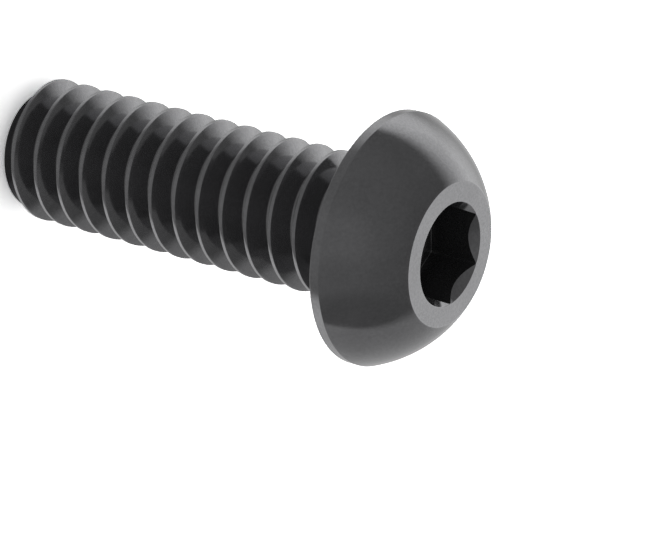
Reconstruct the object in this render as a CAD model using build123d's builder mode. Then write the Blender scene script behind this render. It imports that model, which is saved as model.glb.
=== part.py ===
# Button head socket screw, quarter inch by twenty threads to the inch, in millimetres.
# It is one piece of steel: a chamfered, fully threaded shank under a low domed head,
# with a hexagonal socket for a key in the head's flat face.
# The screw would roll on its side, so it stands on its point, head up. The origin is in
# the middle of the point's flat end and +Z runs up the screw's axis to the head.
import os
from math import ceil, radians, tan

from build123d import *

# Thread, right handed, with flat crests and roots
thread_diameter = 6.35
pitch = 1.27
flank_angle = 60.0
crest_flat = pitch / 8
root_flat = pitch / 8
groove_height = 0.59

# Shank, from the point up to the head's bearing face
shank_length = 18.85
point_diameter = 4.9
point_chamfer_angle = 45.0

# Neck, where the thread ends short of the head
neck_diameter = 5.5
neck_chamfer = 0.5
crest_stop = 0.9
groove_stop = 1.15
run_out_angle = 30.0

# Head
head_diameter = 11.1
head_height = 3.35
rim_height = 0.47
face_diameter = 6.34
dome_bulge = 0.3

# Socket, with a hexagon's corner on the +X side
key_size = 3.969
key_corner_radius = 0.15
socket_depth = 2.3
lead_in_diameter = 4.56
lead_in_angle = 36.0
pilot_diameter = 3.5
pilot_floor_angle = 15.0

thread_radius = thread_diameter / 2
head_radius = head_diameter / 2
neck_radius = neck_diameter / 2
point_radius = point_diameter / 2
key_radius = key_size / 2
lead_in_radius = lead_in_diameter / 2
pilot_radius = pilot_diameter / 2

# The groove's section, drawn a little past the crests so that it cuts them cleanly
flank_slope = tan(radians(flank_angle / 2))
mouth_width = pitch - crest_flat
thread_depth = (mouth_width - root_flat) / 2 / flank_slope
root_radius = thread_radius - thread_depth
cutter_radius = thread_radius + crest_flat / 3
cutter_width = mouth_width + 2 * (cutter_radius - thread_radius) * flank_slope

# The groove starts below the point, on the +X side, and runs on past the bearing face.
# Its helix is drawn one turn at a time.
groove_start = groove_height - 2 * pitch
groove_turns = ceil(shank_length / pitch) + 3
helix_turns = []
for turn in range(groove_turns):
    turn_start = (0, 0, groove_start + turn * pitch)
    helix_turns.append(
        Helix(pitch, pitch, root_radius, center=turn_start, mode=Mode.PRIVATE)
    )
groove_path = Wire(helix_turns)

# Turned forms are drawn on the -X side, away from the groove's start, with the radius
# across and the height over the head's bearing face upwards
bearing_plane = Plane(origin=(0, 0, shank_length), x_dir=(-1, 0, 0), z_dir=(0, 1, 0))

with BuildPart() as button_head_screw:
    # Shank blank: the crests' cylinder, its chamfered point, and the shoulder where
    # the crests fall away at 45 degrees to the neck
    point_length = (thread_radius - point_radius) / tan(radians(point_chamfer_angle))
    shoulder_top = neck_radius - crest_stop
    crest_top = shoulder_top - thread_radius
    with BuildSketch(bearing_plane):
        with BuildLine():
            Polyline(
                (0, shoulder_top),
                (thread_radius, crest_top),
                (thread_radius, point_length - shank_length),
                (point_radius, -shank_length),
                (0, -shank_length),
                close=True,
            )
        make_face()
    revolve(axis=Axis.Z)

    # Thread: the groove, cut along its helix
    with BuildSketch(Plane.XZ.shift_origin((0, 0, groove_start))):
        with BuildLine():
            Polyline(
                (cutter_radius, -cutter_width / 2),
                (root_radius, -root_flat / 2),
                (root_radius, root_flat / 2),
                (cutter_radius, cutter_width / 2),
                close=True,
            )
        make_face()
    sweep(path=groove_path, is_frenet=True, clean=False, mode=Mode.SUBTRACT)

    # Head, with the neck that fills the end of the groove
    run_out_depth = groove_stop + neck_radius / tan(radians(run_out_angle))
    with BuildSketch(bearing_plane):
        with BuildLine():
            Polyline(
                (0, -run_out_depth),
                (neck_radius, -groove_stop),
                (neck_radius, -neck_chamfer),
                (neck_radius + neck_chamfer, 0),
                (head_radius, 0),
                (head_radius, rim_height),
            )
            SagittaArc(
                (head_radius, rim_height),
                (face_diameter / 2, head_height),
                -dome_bulge,
            )
            Polyline(
                (face_diameter / 2, head_height),
                (0, head_height),
                (0, -run_out_depth),
            )
        make_face()
    revolve(axis=Axis.Z)

    # Socket: the hexagon
    with BuildSketch(Plane.XY.offset(shank_length + head_height)) as hexagon:
        RegularPolygon(key_radius, 6, major_radius=False)
        fillet(hexagon.vertices(), key_corner_radius)
    extrude(amount=-socket_depth, mode=Mode.SUBTRACT)

    # Socket: the lead-in cone at its mouth and the pilot drill's cone in its floor
    lead_in_depth = (lead_in_radius - pilot_radius) / tan(radians(lead_in_angle))
    pilot_depth = pilot_radius * tan(radians(pilot_floor_angle))
    with BuildSketch(bearing_plane):
        with BuildLine():
            Polyline(
                (0, head_height),
                (lead_in_radius, head_height),
                (pilot_radius, head_height - lead_in_depth),
                (pilot_radius, head_height - socket_depth),
                (0, head_height - socket_depth - pilot_depth),
                close=True,
            )
        make_face()
    revolve(axis=Axis.Z, mode=Mode.SUBTRACT)

button_head_screw.part.label = "button_head_screw"
print("volume", round(button_head_screw.part.volume, 3), "mm3")
print("root diameter", round(2 * root_radius, 3))
print("crests from height", round(point_length, 3), "to", round(shank_length + crest_top, 3))

os.makedirs("parts", exist_ok=True)
export_step(button_head_screw.part, "parts/button_head_screw.step")
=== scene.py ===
# %% [markdown]
# # A button head socket screw
#
# This notebook dresses one machine screw: a quarter inch thick, twenty threads to the
# inch, with a low domed head and a hexagonal socket for a key. The solid model from CAD
# already has the right sizes, but its thread and dome are made of coarse facets. Here the
# screw is made again, finely, in the same place and to the same sizes, and it gets the
# black oxide finish that such screws have.
#
# Sizes are in millimetres, as a maker would read them off a drawing. `MM` turns them into
# Blender's metres.

import math

import bpy
import bmesh
from mathutils import Matrix, Quaternion, Vector


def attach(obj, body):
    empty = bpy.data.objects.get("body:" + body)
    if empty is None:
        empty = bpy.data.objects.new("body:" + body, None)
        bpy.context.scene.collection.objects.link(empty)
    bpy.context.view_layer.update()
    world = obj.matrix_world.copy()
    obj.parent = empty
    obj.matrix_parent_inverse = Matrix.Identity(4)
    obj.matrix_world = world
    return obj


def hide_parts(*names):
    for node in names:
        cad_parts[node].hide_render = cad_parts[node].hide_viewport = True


MM = 0.001
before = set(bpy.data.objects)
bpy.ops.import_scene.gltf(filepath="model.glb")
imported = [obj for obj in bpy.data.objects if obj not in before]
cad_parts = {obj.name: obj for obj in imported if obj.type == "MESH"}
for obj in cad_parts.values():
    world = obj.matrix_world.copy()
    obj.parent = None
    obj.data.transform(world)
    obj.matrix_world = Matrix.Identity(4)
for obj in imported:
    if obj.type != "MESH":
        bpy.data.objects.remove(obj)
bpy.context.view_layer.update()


# %% [markdown]
# ## The sizes
#
# These are the same named sizes as in the part's CAD source, so the two agree. Heights
# are over the point that the screw stands on, apart from those of the head, which are
# over its bearing face.

# %% Sizes
thread_diameter = 6.35
pitch = 1.27
flank_angle = 60.0
crest_flat = pitch / 8
root_flat = pitch / 8
groove_height = 0.59

shank_length = 18.85
point_diameter = 4.9
neck_diameter = 5.5
neck_chamfer = 0.5
crest_stop = 0.9
groove_stop = 1.15
run_out_angle = 30.0

head_diameter = 11.1
head_height = 3.35
rim_height = 0.47
face_diameter = 6.34
dome_bulge = 0.3

key_size = 3.969
key_corner_radius = 0.15
socket_depth = 2.3
lead_in_diameter = 4.56
lead_in_angle = 36.0
pilot_diameter = 3.5
pilot_floor_angle = 15.0

face_height = shank_length + head_height
print("overall height", round(face_height, 3), "mm")

# %% [markdown]
# ## Turned forms with small, true edges
#
# No real edge is perfectly sharp. A thin rounding is what catches the light, so each
# corner of a turned profile gets its own small radius before the profile is spun. A
# corner is written as (radius across, height, rounding). The rounding is shortened where
# its neighbours are close, so it never passes the middle of a short side. One more point
# beyond each end of a rounding keeps the shading of the flat side next to it flat.

# %% Rounding a profile
straight_enough = 1e-4
share_of_side = 0.3
flat_beyond = 0.5


def rounded(corners, steps=4):
    """The profile's points, with every inner corner rounded in a fixed number of steps."""
    points = [Vector(corners[0][:2])]
    for before, corner, after in zip(corners, corners[1:], corners[2:]):
        here = Vector(corner[:2])
        back = Vector(before[:2]) - here
        on = Vector(after[:2]) - here
        turn = math.pi - back.angle(on, math.pi)
        if turn < straight_enough or corner[2] == 0:
            points.append(here)
            continue
        room = share_of_side * min(back.length, on.length)
        cut = min(corner[2] * math.tan(turn / 2), room)
        beyond = flat_beyond * cut
        start = here + back.normalized() * cut
        end = here + on.normalized() * cut
        points.append(start + back.normalized() * min(beyond, back.length - 2 * room))
        for step in range(steps + 1):
            t = step / steps
            points.append(start * (1 - t) ** 2 + here * 2 * t * (1 - t) + end * t**2)
        points.append(end + on.normalized() * min(beyond, on.length - 2 * room))
    points.append(Vector(corners[-1][:2]))
    return points


def arc(start, end, bulge, steps):
    """Points of a shallow arc between two profile points, without its ends."""
    start, end = Vector(start), Vector(end)
    chord = end - start
    radius = (chord.length**2 / 4 + bulge**2) / (2 * bulge)
    outward = Vector((-chord.y, chord.x)).normalized()
    if outward.x < 0:
        outward.negate()
    centre = (start + end) / 2 + outward * (bulge - radius)
    first, last = start - centre, end - centre
    sweep = first.angle(last)
    points = []
    for step in range(1, steps):
        part = sweep * step / steps
        mixed = first * math.sin(sweep - part) + last * math.sin(part)
        points.append(centre + mixed / math.sin(sweep))
    return points


square_corner = rounded([(0, 0, 0), (5, 0, 1), (5, 5, 0)])
print("a square corner of radius 1:", [tuple(round(v, 2) for v in p) for p in square_corner])

# %% Spinning a profile, with points closer than these distances in metres made one
same_point = 1e-8
no_length = 1e-9


def spun(name, profile_at, angles):
    """A closed turned solid. The profile may change with the angle, but not its number
    of points, and it starts and ends on the axis."""
    shape = bmesh.new()
    columns = []
    for angle in angles:
        across = Vector((math.cos(angle), math.sin(angle), 0))
        columns.append([
            shape.verts.new((across * r + Vector((0, 0, z))) * MM)
            for r, z in profile_at(angle)
        ])
    for left, right in zip(columns, columns[1:] + columns[:1]):
        for row in range(len(left) - 1):
            shape.faces.new((left[row], right[row], right[row + 1], left[row + 1]))
    bmesh.ops.remove_doubles(shape, verts=shape.verts, dist=same_point)
    bmesh.ops.dissolve_degenerate(shape, edges=shape.edges, dist=no_length)
    bmesh.ops.recalc_face_normals(shape, faces=shape.faces)
    mesh = bpy.data.meshes.new(name)
    shape.to_mesh(mesh)
    volume = round(shape.calc_volume() / MM**3, 2)
    print(name, "faces", len(mesh.polygons), "volume", volume, "mm3")
    shape.free()
    made = bpy.data.objects.new(name, mesh)
    bpy.context.scene.collection.objects.link(made)
    return made


# %% [markdown]
# ## The turned blank of the shank
#
# Before its thread is rolled, the shank is a plain turned bar with a chamfered point. At
# the head's end the crests of the thread fall away at 45 degrees. The blank is kept a
# little thicker than the thread, because here it only trims the threaded bar's ends.

# %% Shank blank
spare = 0.2
into_head = 0.1
blank_steps = 180
crest_radius = thread_diameter / 2
point_radius = point_diameter / 2
crest_top = shank_length + neck_diameter / 2 - crest_stop - crest_radius
blank_top = shank_length + into_head
blank_corners = [
    (0, 0, 0),
    (point_radius, 0, 0.06),
    (crest_radius + spare, crest_radius + spare - point_radius, 0),
    (crest_radius + spare, crest_top - spare, 0),
    (crest_top + crest_radius - blank_top, blank_top, 0),
    (0, blank_top, 0),
]
blank_profile = rounded(blank_corners)
even_angles = [math.tau * k / blank_steps for k in range(blank_steps)]
shank_blank = spun("shank_blank", lambda angle: blank_profile, even_angles)

# %% [markdown]
# ## The head and its socket
#
# The head is also turned, but its socket has six sides. Instead of cutting a hexagon out
# afterwards, the profile itself changes with the angle: the key's flat is nearest to the
# axis in its middle and furthest at a corner. The lead-in cone meets each flat in a
# scallop, and since both are known at every angle, that curved edge comes out exact.

# %% How far the socket's wall is from the axis
def key_wall(angle):
    """The hexagon's distance from the axis, with its small corner radius."""
    half = math.pi / 6
    off_corner = (angle + half) % (2 * half) - half
    off_flat = half - abs(off_corner)
    wall = key_size / 2 / math.cos(off_flat)
    centre = (key_size / 2 - key_corner_radius) / math.cos(half)
    tangent = math.atan2(key_corner_radius / 2, centre + key_corner_radius * math.cos(half))
    if abs(off_corner) < tangent:
        side = centre * math.sin(off_corner)
        wall = centre * math.cos(off_corner) + math.sqrt(key_corner_radius**2 - side**2)
    return wall


walls = [round(key_wall(angle), 3) for angle in (0, math.pi / 6)]
print("socket wall at a corner and at a flat:", walls)

# %% Head and socket
dome_steps = 24
dome_start = (head_diameter / 2, shank_length + rim_height)
dome_end = (face_diameter / 2, face_height)
dome_points = arc(dome_start, dome_end, dome_bulge, dome_steps)


def head_profile(angle):
    """The head's profile at one angle, from the end of the neck inside the shank, round
    the head and down the socket to the axis."""
    neck = neck_diameter / 2
    lead_in = lead_in_diameter / 2
    pilot = pilot_diameter / 2
    wall = key_wall(angle)
    scallop = face_height - (lead_in - wall) / math.tan(math.radians(lead_in_angle))
    floor = face_height - socket_depth
    run_out = groove_stop + neck / math.tan(math.radians(run_out_angle))
    corners = [
        (0, shank_length - run_out, 0),
        (neck, shank_length - groove_stop, 0.1),
        (neck, shank_length - neck_chamfer, 0.4),
        (neck + neck_chamfer, shank_length, 0.4),
        (head_diameter / 2, shank_length, 0.05),
        (*dome_start, 0.06),
        *[(r, z, 0) for r, z in dome_points],
        (*dome_end, 0.07),
        (lead_in, face_height, 0.04),
        (wall, scallop, 0.03),
        (wall, floor, 0.05),
        (pilot, floor, 0.03),
        (0, floor - pilot * math.tan(math.radians(pilot_floor_angle)), 0),
    ]
    return rounded(corners)


# Degrees from a corner of the hexagon: close together over its small radius, then even
near_corner = [0, 0.65, 1.3, 1.91, 3, 5] + [7.5 + 2.5 * k for k in range(10)]
sixth = near_corner + [60 - a for a in reversed(near_corner[1:-1])]
head_angles = [math.radians(60 * side + a) for side in range(6) for a in sixth]
head_form = spun("head_form", head_profile, head_angles)

# %% [markdown]
# ## The thread
#
# A thread follows a rule, so Geometry Nodes make it. Picture a strip of metal, one pitch
# wide, pressed into the section of the groove. It is bent round the axis and climbs one
# pitch in each turn, so its edges meet along the crests and close into a threaded bar.
#
# The tree first draws the groove's section from the drawing's sizes and rounds its
# corners. A flat grid, with one row for each point of the section, is then bent and
# lifted. Its two open ends are drawn together on the axis. Last, the bar is trimmed to
# the turned blank and joined to the head.

# %% Small helpers for building a tree
def place(tree, kind, *values, **settings):
    """Adds a node. Each value goes to the next input in use: a socket is linked, a
    number is written, and None leaves the input alone."""
    made = tree.nodes.new(kind)
    for name, value in settings.items():
        setattr(made, name, value)
    sockets = [socket for socket in made.inputs if socket.enabled]
    for socket, value in zip(sockets, values):
        if isinstance(value, bpy.types.NodeSocket):
            tree.links.new(value, socket)
        elif value is not None:
            socket.default_value = value
    return made


def sum_up(tree, operation, *values):
    """One step of arithmetic on sockets and numbers."""
    return place(tree, "ShaderNodeMath", *values, operation=operation).outputs[0]


def point_at(tree, x, y, z):
    """A point or a vector from its three parts."""
    return place(tree, "ShaderNodeCombineXYZ", x, y, z).outputs[0]


# %% The tree and its named sizes
crest_rounding = 0.015
root_rounding = 0.12
turns = math.ceil(shank_length / pitch) + 2
steps_in_a_turn = 144
thread_tree = bpy.data.node_groups.new("threaded_screw", "GeometryNodeTree")
thread_tree.is_modifier = True
sockets = {}


def size_input(name, kind, value=None):
    """Gives the tree one more named input, and keeps its identifier and its value."""
    socket = thread_tree.interface.new_socket(name, in_out="INPUT", socket_type=kind)
    sockets[name] = (socket.identifier, value)


size_input("Turned blank", "NodeSocketGeometry")
size_input("Head", "NodeSocketObject", head_form)
size_input("Diameter", "NodeSocketFloat", thread_diameter * MM)
size_input("Pitch", "NodeSocketFloat", pitch * MM)
size_input("Crest flat", "NodeSocketFloat", crest_flat * MM)
size_input("Root flat", "NodeSocketFloat", root_flat * MM)
size_input("Flank angle", "NodeSocketFloat", math.radians(flank_angle))
size_input("Crest rounding", "NodeSocketFloat", crest_rounding * MM)
size_input("Root rounding", "NodeSocketFloat", root_rounding * MM)
size_input("Start height", "NodeSocketFloat", (groove_height - 2 * pitch) * MM)
size_input("Turns", "NodeSocketInt", turns)
size_input("Steps in a turn", "NodeSocketInt", steps_in_a_turn)
size_input("Finish", "NodeSocketMaterial")
thread_tree.interface.new_socket("Screw", in_out="OUTPUT", socket_type="NodeSocketGeometry")
given = thread_tree.nodes.new("NodeGroupInput").outputs
print("inputs of the tree:", list(sockets))

# %% The groove's section
t = thread_tree
radius_at_crest = sum_up(t, "MULTIPLY", given["Diameter"], 0.5)
half_pitch = sum_up(t, "MULTIPLY", given["Pitch"], 0.5)
half_crest = sum_up(t, "MULTIPLY", given["Crest flat"], 0.5)
half_mouth = sum_up(t, "SUBTRACT", half_pitch, half_crest)
half_root = sum_up(t, "MULTIPLY", given["Root flat"], 0.5)
flank_width = sum_up(t, "SUBTRACT", half_mouth, half_root)
half_angle = sum_up(t, "MULTIPLY", given["Flank angle"], 0.5)
depth = sum_up(t, "DIVIDE", flank_width, sum_up(t, "TANGENT", half_angle))


def on_flank(share, side):
    """A point part of the way down a flank: 0 at the crest, 1 at the root."""
    down = sum_up(t, "MULTIPLY", depth, share)
    aside = sum_up(t, "SUBTRACT", half_mouth, sum_up(t, "MULTIPLY", flank_width, share))
    radius = sum_up(t, "SUBTRACT", radius_at_crest, down)
    return point_at(t, radius, 0.0, sum_up(t, "MULTIPLY", aside, side))


flank_shares = [0.0, 0.04, 0.88, 1.0]
section_points = [
    point_at(t, radius_at_crest, 0.0, sum_up(t, "MULTIPLY", half_pitch, -1.0)),
    *[on_flank(share, -1.0) for share in flank_shares],
    *[on_flank(share, 1.0) for share in reversed(flank_shares)],
    point_at(t, radius_at_crest, 0.0, half_pitch),
]
number = t.nodes.new("GeometryNodeInputIndex").outputs[0]
position = t.nodes.new("GeometryNodeInputPosition").outputs[0]
chosen = t.nodes.new("GeometryNodeIndexSwitch")
chosen.data_type = "VECTOR"
while len(chosen.index_switch_items) < len(section_points):
    chosen.index_switch_items.new()
t.links.new(number, chosen.inputs["Index"])
for socket, point in zip(chosen.inputs[1:], section_points):
    t.links.new(point, socket)
loose_points = place(t, "GeometryNodeMeshLine", len(section_points)).outputs[0]
placed = place(t, "GeometryNodeSetPosition", loose_points, None, chosen.outputs[0]).outputs[0]
section = place(t, "GeometryNodeMeshToCurve", placed).outputs[0]

# %% Rounding the section: wide at the root, where the rolling die is round, fine at the crest
rounding_points = 3
across = place(t, "ShaderNodeSeparateXYZ", position).outputs[0]
middle = sum_up(t, "SUBTRACT", radius_at_crest, sum_up(t, "MULTIPLY", depth, 0.5))
at_root = sum_up(t, "LESS_THAN", across, middle)
rounding = place(
    t, "ShaderNodeMix", at_root, given["Crest rounding"], given["Root rounding"]
).outputs[0]
fillet = t.nodes.new("GeometryNodeFilletCurve")
fillet.mode = "POLY"
t.links.new(section, fillet.inputs["Curve"])
fillet.inputs["Count"].default_value = rounding_points
t.links.new(rounding, fillet.inputs["Radius"])
fillet.inputs["Limit Radius"].default_value = True
section = fillet.outputs[0]

# %% The strip, bent and lifted
weld_gap = 0.001 * MM
counted = place(t, "GeometryNodeAttributeDomainSize", section, component="CURVE")
rows = counted.outputs["Point Count"]
steps = sum_up(t, "MULTIPLY", given["Turns"], given["Steps in a turn"])
columns = sum_up(t, "ADD", steps, 1.0)
strip = place(t, "GeometryNodeMeshGrid", 1.0, 1.0, columns, rows).outputs[0]
column = sum_up(t, "FLOOR", sum_up(t, "DIVIDE", number, rows))
row = sum_up(t, "SUBTRACT", number, sum_up(t, "MULTIPLY", column, rows))
turned = sum_up(t, "DIVIDE", column, given["Steps in a turn"])
angle = sum_up(t, "MULTIPLY", turned, math.tau)
on_section = place(
    t, "GeometryNodeSampleIndex", section, position, row, data_type="FLOAT_VECTOR"
).outputs[0]
parts = place(t, "ShaderNodeSeparateXYZ", on_section).outputs
climb = sum_up(t, "ADD", sum_up(t, "MULTIPLY", turned, given["Pitch"]), given["Start height"])
bent = point_at(
    t,
    sum_up(t, "MULTIPLY", parts[0], sum_up(t, "COSINE", angle)),
    sum_up(t, "MULTIPLY", parts[0], sum_up(t, "SINE", angle)),
    sum_up(t, "ADD", parts[2], climb),
)
thread = place(t, "GeometryNodeSetPosition", strip, None, bent).outputs[0]
merged = t.nodes.new("GeometryNodeMergeByDistance")
t.links.new(thread, merged.inputs["Geometry"])
merged.inputs["Distance"].default_value = weld_gap
thread = merged.outputs[0]

# %% Closing the bar's two ends on the axis
neighbours = t.nodes.new("GeometryNodeInputMeshEdgeNeighbors").outputs[0]
open_edge = place(
    t, "FunctionNodeCompare", neighbours, 1, data_type="INT", operation="EQUAL"
).outputs[0]
drawn = t.nodes.new("GeometryNodeExtrudeMesh")
drawn.mode = "EDGES"
t.links.new(thread, drawn.inputs["Mesh"])
t.links.new(open_edge, drawn.inputs["Selection"])
drawn.inputs["Offset Scale"].default_value = 0.0
height = place(t, "ShaderNodeSeparateXYZ", position).outputs[2]
full_climb = sum_up(t, "MULTIPLY", given["Turns"], given["Pitch"])
lowest = sum_up(t, "SUBTRACT", given["Start height"], half_pitch)
highest = sum_up(t, "ADD", sum_up(t, "ADD", given["Start height"], full_climb), half_pitch)
halfway = sum_up(t, "MULTIPLY", sum_up(t, "ADD", lowest, highest), 0.5)
upper = sum_up(t, "GREATER_THAN", height, halfway)
end_height = place(t, "ShaderNodeMix", upper, lowest, highest).outputs[0]
pulled = t.nodes.new("GeometryNodeSetPosition")
t.links.new(drawn.outputs["Mesh"], pulled.inputs["Geometry"])
t.links.new(drawn.outputs["Top"], pulled.inputs["Selection"])
t.links.new(point_at(t, 0.0, 0.0, end_height), pulled.inputs["Position"])
closed = t.nodes.new("GeometryNodeMergeByDistance")
t.links.new(pulled.outputs[0], closed.inputs["Geometry"])
closed.inputs["Distance"].default_value = weld_gap
threaded_bar = closed.outputs[0]

# %% Trimming to the blank, joining the head, and sorting soft from crisp edges
crisp_angle = math.radians(32)
trimmed = t.nodes.new("GeometryNodeMeshBoolean")
trimmed.operation = "INTERSECT"
trimmed.solver = "EXACT"
t.links.new(threaded_bar, trimmed.inputs["Mesh 2"])
t.links.new(given["Turned blank"], trimmed.inputs["Mesh 2"])
head_shape = place(t, "GeometryNodeObjectInfo", given["Head"]).outputs["Geometry"]
joined = t.nodes.new("GeometryNodeMeshBoolean")
joined.operation = "UNION"
joined.solver = "EXACT"
t.links.new(trimmed.outputs[0], joined.inputs["Mesh 2"])
t.links.new(head_shape, joined.inputs["Mesh 2"])
clean = t.nodes.new("GeometryNodeMergeByDistance")
t.links.new(joined.outputs[0], clean.inputs["Geometry"])
clean.inputs["Distance"].default_value = weld_gap / 2
soft = place(t, "GeometryNodeSetShadeSmooth", clean.outputs[0], None, True).outputs[0]
bend = t.nodes.new("GeometryNodeInputMeshEdgeAngle").outputs[0]
crisp = sum_up(t, "GREATER_THAN", bend, crisp_angle)
edged = t.nodes.new("GeometryNodeSetShadeSmooth")
edged.domain = "EDGE"
t.links.new(soft, edged.inputs["Geometry"])
t.links.new(crisp, edged.inputs["Selection"])
edged.inputs["Shade Smooth"].default_value = False
whole = place(t, "GeometryNodeRealizeInstances", edged.outputs[0]).outputs[0]
finished = t.nodes.new("GeometryNodeSetMaterial")
t.links.new(whole, finished.inputs["Geometry"])
t.links.new(given["Finish"], finished.inputs["Material"])
t.links.new(finished.outputs[0], t.nodes.new("NodeGroupOutput").inputs[0])
print("thread tree:", len(t.nodes), "nodes,", len(t.links), "links")

# %% [markdown]
# ## The finish: black oxide over steel
#
# Black oxide is a thin skin of magnetite that grows out of the steel itself in a hot
# bath. It is a very dark grey rather than black, it keeps the satin gloss of the metal
# under it, and it is thinnest where handling polishes it: on the crests of the thread and
# along the head's edges. So the material is a dark metal with a fine grain, cloudy
# patches a millimetre or two across, and slightly lighter edges.

# %% A group for worn edges: a ring at a given radius and height
def new_group(name, inputs, outputs):
    """An empty shader group: its tree, and the sockets that lead in and out of it."""
    tree = bpy.data.node_groups.new(name, "ShaderNodeTree")
    for label, kind, value in inputs:
        socket = tree.interface.new_socket(label, in_out="INPUT", socket_type=kind)
        if value is not None:
            socket.default_value = value
    for label, kind in outputs:
        tree.interface.new_socket(label, in_out="OUTPUT", socket_type=kind)
    led_in = tree.nodes.new("NodeGroupInput").outputs
    return tree, led_in, tree.nodes.new("NodeGroupOutput").inputs


ring, ring_in, ring_out = new_group(
    "edge_ring",
    [
        ("Place", "NodeSocketVector", None),
        ("Radius", "NodeSocketFloat", head_diameter / 2 * MM),
        ("Height", "NodeSocketFloat", shank_length * MM),
        ("Width", "NodeSocketFloat", 0.15 * MM),
    ],
    [("Mask", "NodeSocketFloat")],
)
xyz = place(ring, "ShaderNodeSeparateXYZ", ring_in["Place"]).outputs
flat_place = point_at(ring, xyz[0], xyz[1], 0.0)
from_axis = place(ring, "ShaderNodeVectorMath", flat_place, operation="LENGTH").outputs["Value"]
off_radius = sum_up(ring, "SUBTRACT", from_axis, ring_in["Radius"])
off_height = sum_up(ring, "SUBTRACT", xyz[2], ring_in["Height"])
gap = place(
    ring, "ShaderNodeVectorMath", point_at(ring, off_radius, off_height, 0.0), operation="LENGTH"
).outputs["Value"]
faded = place(
    ring, "ShaderNodeMapRange", gap, 0.0, ring_in["Width"], 1.0, 0.0,
    interpolation_type="SMOOTHSTEP",
)
ring.links.new(faded.outputs[0], ring_out["Mask"])

# %% A group for the oxide's grain
grains_per_metre = 9000.0
patches_per_metre = 650.0
grain, grain_in, grain_out = new_group(
    "oxide_grain",
    [
        ("Place", "NodeSocketVector", None),
        ("Grains per metre", "NodeSocketFloat", grains_per_metre),
        ("Patches per metre", "NodeSocketFloat", patches_per_metre),
    ],
    [("Grain", "NodeSocketFloat"), ("Patches", "NodeSocketFloat")],
)
fine = grain.nodes.new("ShaderNodeTexNoise")
fine.inputs["Detail"].default_value = 3.0
fine.inputs["Roughness"].default_value = 0.6
grain.links.new(grain_in["Place"], fine.inputs["Vector"])
grain.links.new(grain_in["Grains per metre"], fine.inputs["Scale"])
cloudy = grain.nodes.new("ShaderNodeTexNoise")
cloudy.inputs["Detail"].default_value = 4.0
cloudy.inputs["Roughness"].default_value = 0.55
grain.links.new(grain_in["Place"], cloudy.inputs["Vector"])
grain.links.new(grain_in["Patches per metre"], cloudy.inputs["Scale"])
grain.links.new(fine.outputs[0], grain_out["Grain"])
grain.links.new(cloudy.outputs[0], grain_out["Patches"])
print("shader groups:", ring.name, grain.name)

# %% The black oxide material
oxide_grey = 0.15
blueness = 1.03
patch_contrast = 0.07
grain_contrast = 0.1
lighter_where_worn = 0.02
smoothest, roughest = 0.09, 0.12
rougher_in_patches = 0.04
rougher_in_socket = 0.15
# Painted shade: how much darker the socket's colour is made below its mouth.
painted_shade_in_socket = 0.2
grain_depth = 0.004
oxide = bpy.data.materials.new("black_oxide_steel")
oxide.use_nodes = True
m = oxide.node_tree
m.nodes.clear()
here = m.nodes.new("ShaderNodeTexCoord").outputs["Object"]


def group_node(group, *values):
    """Puts a group into the material and gives its inputs their values, in order."""
    made = m.nodes.new("ShaderNodeGroup")
    made.node_tree = group
    for socket, value in zip(made.inputs, values):
        if isinstance(value, bpy.types.NodeSocket):
            m.links.new(value, socket)
        else:
            socket.default_value = value
    return made.outputs


texture = group_node(grain, here, grains_per_metre, patches_per_metre)
# Radius, height and width of each worn edge of the head's face
edges = [
    (face_diameter / 2, face_height, 0.1),
    (lead_in_diameter / 2, face_height, 0.08),
]
worn = 0.0
for radius, edge_height, width in edges:
    mask = group_node(ring, here, radius * MM, edge_height * MM, width * MM)["Mask"]
    worn = sum_up(m, "MAXIMUM", mask, worn)
place_xyz = place(m, "ShaderNodeSeparateXYZ", here).outputs
off_axis = place(
    m, "ShaderNodeVectorMath", point_at(m, place_xyz[0], place_xyz[1], 0.0), operation="LENGTH"
).outputs["Value"]
wear_starts = (crest_radius - 0.12) * MM
wear_is_full = (crest_radius - 0.01) * MM
on_crest = place(
    m, "ShaderNodeMapRange", off_axis, wear_starts, wear_is_full, 0.0, 1.0,
    interpolation_type="SMOOTHSTEP",
).outputs[0]
end_of_crests = (shank_length - neck_chamfer) * MM
below_head = sum_up(m, "LESS_THAN", place_xyz[2], end_of_crests)
crest_wear = sum_up(m, "MULTIPLY", on_crest, below_head)
worn = sum_up(m, "MAXIMUM", worn, crest_wear)
patchiness = place(m, "ShaderNodeMapRange", texture["Patches"], 0.3, 0.7, 0.35, 1.0).outputs[0]
patchy_wear = sum_up(m, "MULTIPLY", worn, patchiness)

# %% The socket, which is rougher below its mouth and painted darker there as shade in the recess
just_past_mouth = 0.501 * lead_in_diameter * MM
shade_is_full = (face_height - 0.6) * MM
shade_starts = (face_height - 0.2) * MM
above_bearing_face = (shank_length + 0.1) * MM
inside = sum_up(m, "LESS_THAN", off_axis, just_past_mouth)
below_mouth = place(
    m, "ShaderNodeMapRange", place_xyz[2], shade_is_full, shade_starts, 1.0, 0.0,
    interpolation_type="SMOOTHSTEP",
).outputs[0]
inside = sum_up(m, "MULTIPLY", inside, below_mouth)
in_head = sum_up(m, "GREATER_THAN", place_xyz[2], above_bearing_face)
inside = sum_up(m, "MULTIPLY", inside, in_head)

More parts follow.
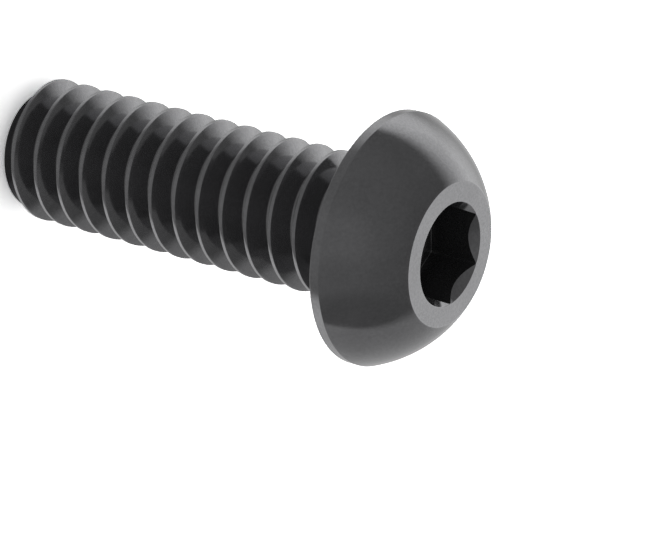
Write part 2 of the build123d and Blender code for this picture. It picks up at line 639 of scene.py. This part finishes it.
# %% Colour, gloss and relief
lightest = oxide_grey * (1 + patch_contrast)
darkest = oxide_grey * (1 - patch_contrast)
tone = place(
    m, "ShaderNodeMapRange", texture["Patches"], 0.25, 0.75, darkest, lightest
).outputs[0]
speckle = place(
    m, "ShaderNodeMapRange", texture["Grain"], 0.35, 0.65, 1 - grain_contrast, 1 + grain_contrast
).outputs[0]
tone = sum_up(m, "MULTIPLY", tone, speckle)
tone = sum_up(m, "ADD", tone, sum_up(m, "MULTIPLY", patchy_wear, lighter_where_worn))
# Painted shade: the socket's colour is darkened below its mouth, standing in for the shade in its
# recess.
painted_socket_shade = sum_up(m, "SUBTRACT", 1.0, sum_up(m, "MULTIPLY", inside, painted_shade_in_socket))
tone = sum_up(m, "MULTIPLY", tone, painted_socket_shade)
blue = sum_up(m, "MULTIPLY", tone, blueness)
colour = place(m, "ShaderNodeCombineColor", tone, tone, blue).outputs[0]
gloss = place(m, "ShaderNodeMapRange", texture["Grain"], 0.3, 0.7, smoothest, roughest).outputs[0]
gloss = sum_up(m, "ADD", gloss, sum_up(m, "MULTIPLY", texture["Patches"], rougher_in_patches))
gloss = sum_up(m, "ADD", gloss, sum_up(m, "MULTIPLY", inside, rougher_in_socket))
bump = m.nodes.new("ShaderNodeBump")
bump.inputs["Strength"].default_value = 0.08
bump.inputs["Distance"].default_value = grain_depth * MM
m.links.new(texture["Grain"], bump.inputs["Height"])
surface = m.nodes.new("ShaderNodeBsdfPrincipled")
surface.inputs["Metallic"].default_value = 0.85
m.links.new(colour, surface.inputs["Base Color"])
m.links.new(gloss, surface.inputs["Roughness"])
m.links.new(bump.outputs[0], surface.inputs["Normal"])
m.links.new(surface.outputs[0], m.nodes.new("ShaderNodeOutputMaterial").inputs["Surface"])
print("black oxide:", len(m.nodes), "nodes")

# %% [markdown]
# ## Running the tree
#
# The turned blank is the mesh that the tree works on. Its inputs are set by their
# identifiers before Blender first looks at the result. The result is then copied into a
# plain mesh, and the helpers are thrown away.

# %% The finished screw
modifier = shank_blank.modifiers.new("thread", "NODES")
modifier.node_group = thread_tree
for identifier, value in sockets.values():
    if value is not None:
        modifier[identifier] = value
modifier[sockets["Finish"][0]] = oxide
view_layer = bpy.context.view_layer
view_layer.update()
result = shank_blank.evaluated_get(bpy.context.evaluated_depsgraph_get())
screw_mesh = bpy.data.meshes.new_from_object(result)
screw = bpy.data.objects.new("threaded_button_screw", screw_mesh)
bpy.context.scene.collection.objects.link(screw)
shank_blank.modifiers.clear()
for helper in (shank_blank, head_form):
    bpy.data.objects.remove(helper, do_unlink=True)

look = bmesh.new()
look.from_mesh(screw_mesh)
open_edges = [edge for edge in look.edges if len(edge.link_faces) != 2]
triangles = sum(len(face.verts) - 2 for face in look.faces)
print(
    "screw:", len(look.faces), "faces,", triangles, "triangles,", len(open_edges), "open edges,",
    "volume", round(look.calc_volume() / MM**3, 2), "mm3",
)
look.free()

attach(screw, "root")
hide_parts("button_head_screw")

# %% [markdown]
# ## The studio
#
# Dark metal shows its surroundings more than itself. The screw stands on a white floor in
# a closed light tent that the camera sees through. The half of the tent beside the camera
# is dim, and the half behind the screw is lit, as with lamps behind the cloth: brightest
# at the top and on the right of the picture, and again low on the left. The line between
# the two halves is the edge that the head's dome and the thread's flanks mirror. The
# metal mirrors the tent only: the white floor is hidden from it.
#
# The stops of the tent's rings aren't a free choice of light. They go back to a table of
# the photograph's tones by mirrored direction, which a scratch program printed. They were
# typed from it, changed by hand against renders, thinned and rounded. report.md says
# which rules that doesn't meet.
#
# The camera's place, the point it looks at and its roll are those of a camera matched to
# the outlines in the photograph. It is turned on its side, since the screw stands here and
# lies in the photograph. Right, up and near are those of the picture.

# %% Camera
camera_place = Vector((78.22, -123.85, 108.05)) * MM
looked_at = Vector((3.1, -0.84, 17.9)) * MM
camera_roll = math.radians(105.34)
forwards = (looked_at - camera_place).normalized()
aim = forwards.to_track_quat("-Z", "Y") @ Quaternion((0, 0, 1), camera_roll)
turn = aim.to_matrix()
camera_data = bpy.data.cameras.new("camera")
camera_data.sensor_width = 36
camera_data.lens = 224.0
camera_data.clip_start = 0.01
camera_data.clip_end = 10
camera = bpy.data.objects.new("camera", camera_data)
camera.matrix_world = Matrix.Translation(camera_place) @ turn.to_4x4()
bpy.context.scene.collection.objects.link(camera)
bpy.context.scene.camera = camera
print("camera looks down by", round(math.degrees(math.asin(-forwards.z)), 2), "degrees")

# %% Rays that show the background
def shows_background(tree):
    """1 for a ray that goes straight to the camera, into a mirror or through glass."""
    rays = tree.nodes.new("ShaderNodeLightPath").outputs
    seen = sum_up(tree, "MAXIMUM", rays["Is Camera Ray"], rays["Is Glossy Ray"])
    return sum_up(tree, "MAXIMUM", seen, rays["Is Transmission Ray"])


# %% The floor: white for the camera, with the object's shadow
floor_radius = 1.2
floor_grey = 0.75
floor_for_camera = 3.2
floor_gap = 0.01 * MM
floor_finish = bpy.data.materials.new("pale_floor")
floor_finish.use_nodes = True
n = floor_finish.node_tree
n.nodes.clear()
brightness = place(n, "ShaderNodeMix", shows_background(n), floor_grey, floor_for_camera).outputs[0]
floor_colour = place(n, "ShaderNodeCombineColor", brightness, brightness, brightness).outputs[0]
matt = place(n, "ShaderNodeBsdfDiffuse", floor_colour).outputs[0]
n.links.new(matt, n.nodes.new("ShaderNodeOutputMaterial").inputs["Surface"])

floor_mesh = bpy.data.meshes.new("floor")
rim_points = [
    (floor_radius * math.cos(angle), floor_radius * math.sin(angle), -floor_gap)
    for angle in even_angles
]
floor_mesh.from_pydata(rim_points, [], [list(range(len(rim_points)))])
floor_mesh.materials.append(floor_finish)
floor = bpy.data.objects.new("floor", floor_mesh)
bpy.context.scene.collection.objects.link(floor)
floor.visible_glossy = False

# %% The tent: dim beside the camera, lit behind the screw
tent_radius = 600 * MM
tent_centre = Vector((0, 0, 20)) * MM
tent_finish = bpy.data.materials.new("light_tent")
tent_finish.use_nodes = True
n = tent_finish.node_tree
n.nodes.clear()
tent_place = n.nodes.new("ShaderNodeTexCoord").outputs["Object"]
from_centre = place(
    n, "ShaderNodeVectorMath", tent_place, tuple(tent_centre), operation="SUBTRACT"
).outputs[0]


def along(direction):
    """How far towards a direction a point of the tent lies, from -1 to 1."""
    scaled = tuple(direction / tent_radius)
    return place(
        n, "ShaderNodeVectorMath", from_centre, scaled, operation="DOT_PRODUCT"
    ).outputs["Value"]


aside, up, nearer = [along(axis) for axis in turn.col]
compass = place(
    n, "ShaderNodeMapRange", sum_up(n, "ARCTAN2", aside, nearer), -math.pi, math.pi, 0.0, 1.0
).outputs[0]


def ring_of_cloth(stops):
    """Brightness round the tent. Each stop is an angle from the camera to the right, in
    degrees, and the brightness there."""
    brightest = max(value for _, value in stops)
    ramp = n.nodes.new("ShaderNodeValToRGB")
    n.links.new(compass, ramp.inputs[0])
    while len(ramp.color_ramp.elements) < len(stops):
        ramp.color_ramp.elements.new(0.5)
    for element, (angle, value) in zip(ramp.color_ramp.elements, stops):
        element.position = (angle + 180) / 360
        element.color = (value / brightest,) * 3 + (1,)
    return sum_up(n, "MULTIPLY", ramp.outputs[0], brightest)


top = ring_of_cloth([
    (-180, 1.8), (-130, 1.2), (-90, 0.5), (0, 0.4),
    (90, 0.3), (110, 1.8), (130, 2.2), (180, 1.8),
])
middle = ring_of_cloth([
    (-180, 0.7), (-90, 0.6), (0, 0.5), (60, 0.25),
    (90, 0.25), (115, 1.7), (130, 2.0), (155, 0.7), (180, 0.7),
])
low = ring_of_cloth([
    (-180, 0.8), (-115, 1.7), (-95, 1.4), (-90, 0.5),
    (0, 0.4), (90, 0.25), (110, 0.7), (180, 0.8),
])
bottom = ring_of_cloth([
    (-180, 0.7), (-90, 0.8), (-85, 0.3), (90, 0.25), (110, 0.7), (180, 0.7),
])


def blend(value, ends, below, above):
    """One brightness below the first end, another above the second, and soft between."""
    part = place(
        n, "ShaderNodeMapRange", value, *ends, 0.0, 1.0, interpolation_type="SMOOTHSTEP"
    ).outputs[0]
    return place(n, "ShaderNodeMix", part, below, above).outputs[0]


# How high the rings meet, from -1 at the bottom to 1 at the top. The top ring reaches
# further down on the camera's side.
bottom_to_low = (-0.93, -0.75)
low_to_middle = (-0.6, -0.25)
middle_to_top = (0.3, 0.75)
top_lean = 0.35
leaning = sum_up(n, "ADD", up, sum_up(n, "MULTIPLY", nearer, top_lean))
glow = blend(up, bottom_to_low, bottom, low)
glow = blend(up, low_to_middle, glow, middle)
glow = blend(leaning, middle_to_top, glow, top)
light = place(n, "ShaderNodeEmission", None, glow).outputs[0]
n.links.new(light, n.nodes.new("ShaderNodeOutputMaterial").inputs["Surface"])

tent_shape = bmesh.new()
bmesh.ops.create_icosphere(tent_shape, subdivisions=5, radius=tent_radius)
bmesh.ops.translate(tent_shape, verts=tent_shape.verts, vec=tent_centre)
tent_mesh = bpy.data.meshes.new("light_tent")
tent_shape.to_mesh(tent_mesh)
tent_shape.free()
tent_mesh.materials.append(tent_finish)
tent = bpy.data.objects.new("light_tent", tent_mesh)
bpy.context.scene.collection.objects.link(tent)
tent.visible_camera = False
print("tent faces", len(tent_mesh.polygons))

# %% The world: white for the camera, dim for anything that passes the tent
dim_world = 0.4
white_world = 1.0
world = bpy.data.worlds.new("room")
bpy.context.scene.world = world
world.use_nodes = True
w = world.node_tree
w.nodes.clear()
strength = place(w, "ShaderNodeMix", shows_background(w), dim_world, white_world).outputs[0]
background = place(w, "ShaderNodeBackground", None, strength).outputs[0]
w.links.new(background, w.nodes.new("ShaderNodeOutputWorld").inputs["Surface"])
bpy.context.scene.view_settings.view_transform = "Standard"
